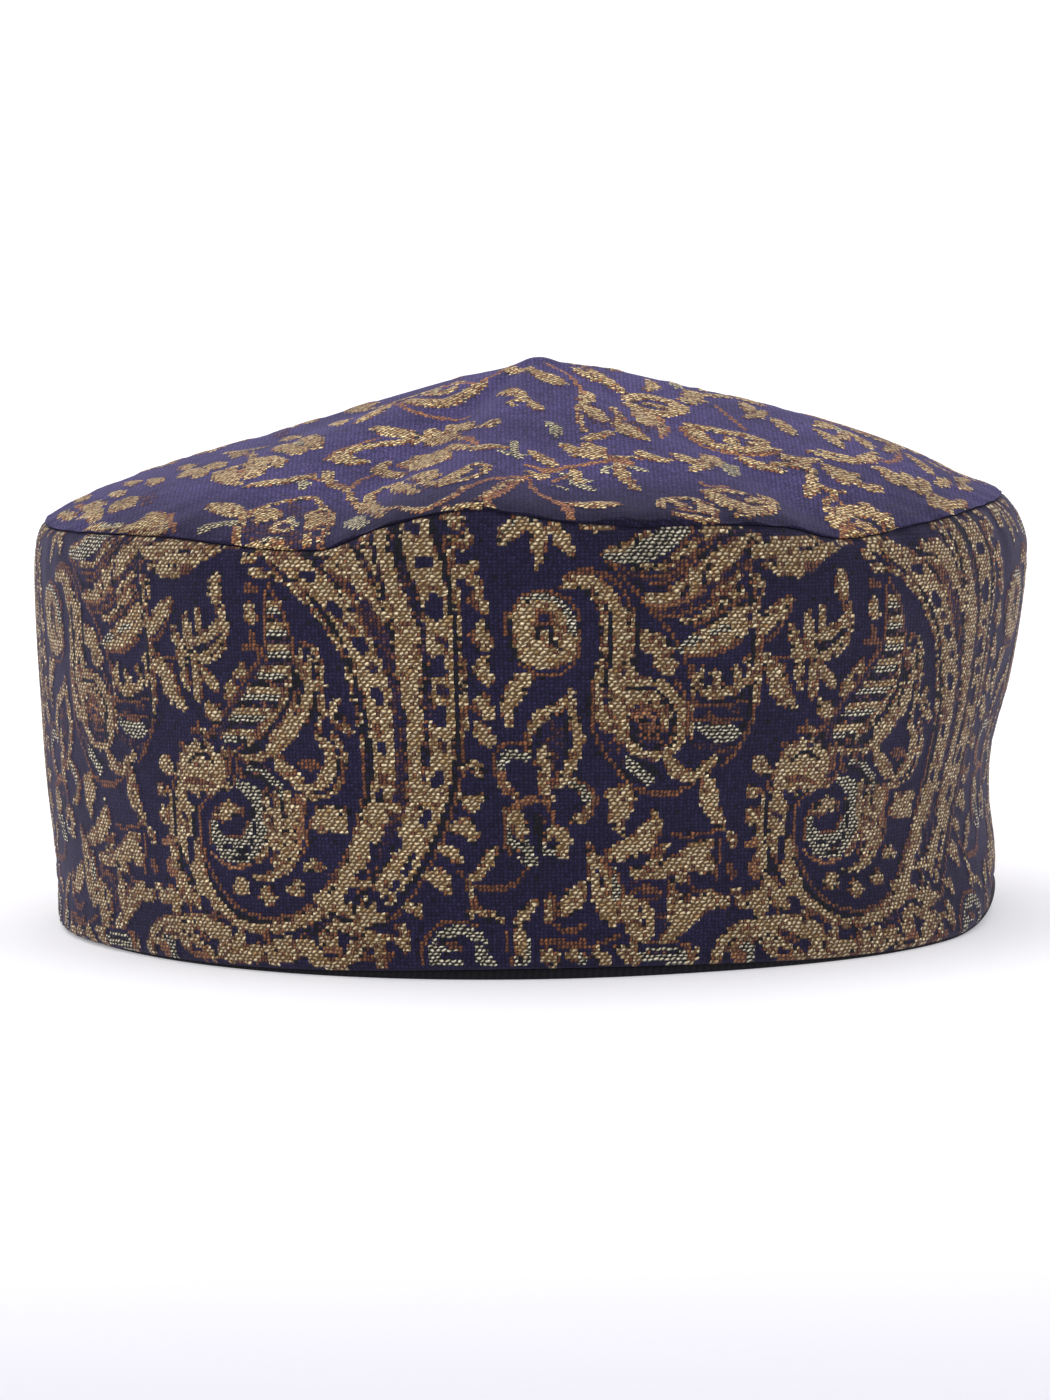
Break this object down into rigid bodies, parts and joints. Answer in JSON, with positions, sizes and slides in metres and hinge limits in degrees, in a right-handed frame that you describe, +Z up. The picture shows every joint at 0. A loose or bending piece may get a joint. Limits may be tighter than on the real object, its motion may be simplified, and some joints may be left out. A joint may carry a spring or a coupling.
{
  "type": "kashmiri kani cap",
  "caption": "Round soft cap of jacquard shawl cloth, with a tall side band, a low pointed crown and a dark bound foot, open underneath.",
  "frame": {"origin": "on the surface that the cap rests on, under the middle of the cap", "axes": "+Z up through the crown's tip, -Y to the front crease, +X to the wearer's left side, at the right of the picture"},
  "size_m": [0.1948, 0.1952, 0.11],
  "materials": {
    "band_cloth": "jacquard weave, navy ground with gold, rust and pale mint floats",
    "crown_cloth": "the same jacquard weave with more of its navy ground showing",
    "binding_cloth": "plain dark cotton cloth"
  },
  "bodies": {
    "root": {"side_band": "band_cloth", "crown": "crown_cloth", "hem_binding": "binding_cloth"}
  },
  "joints": []
}
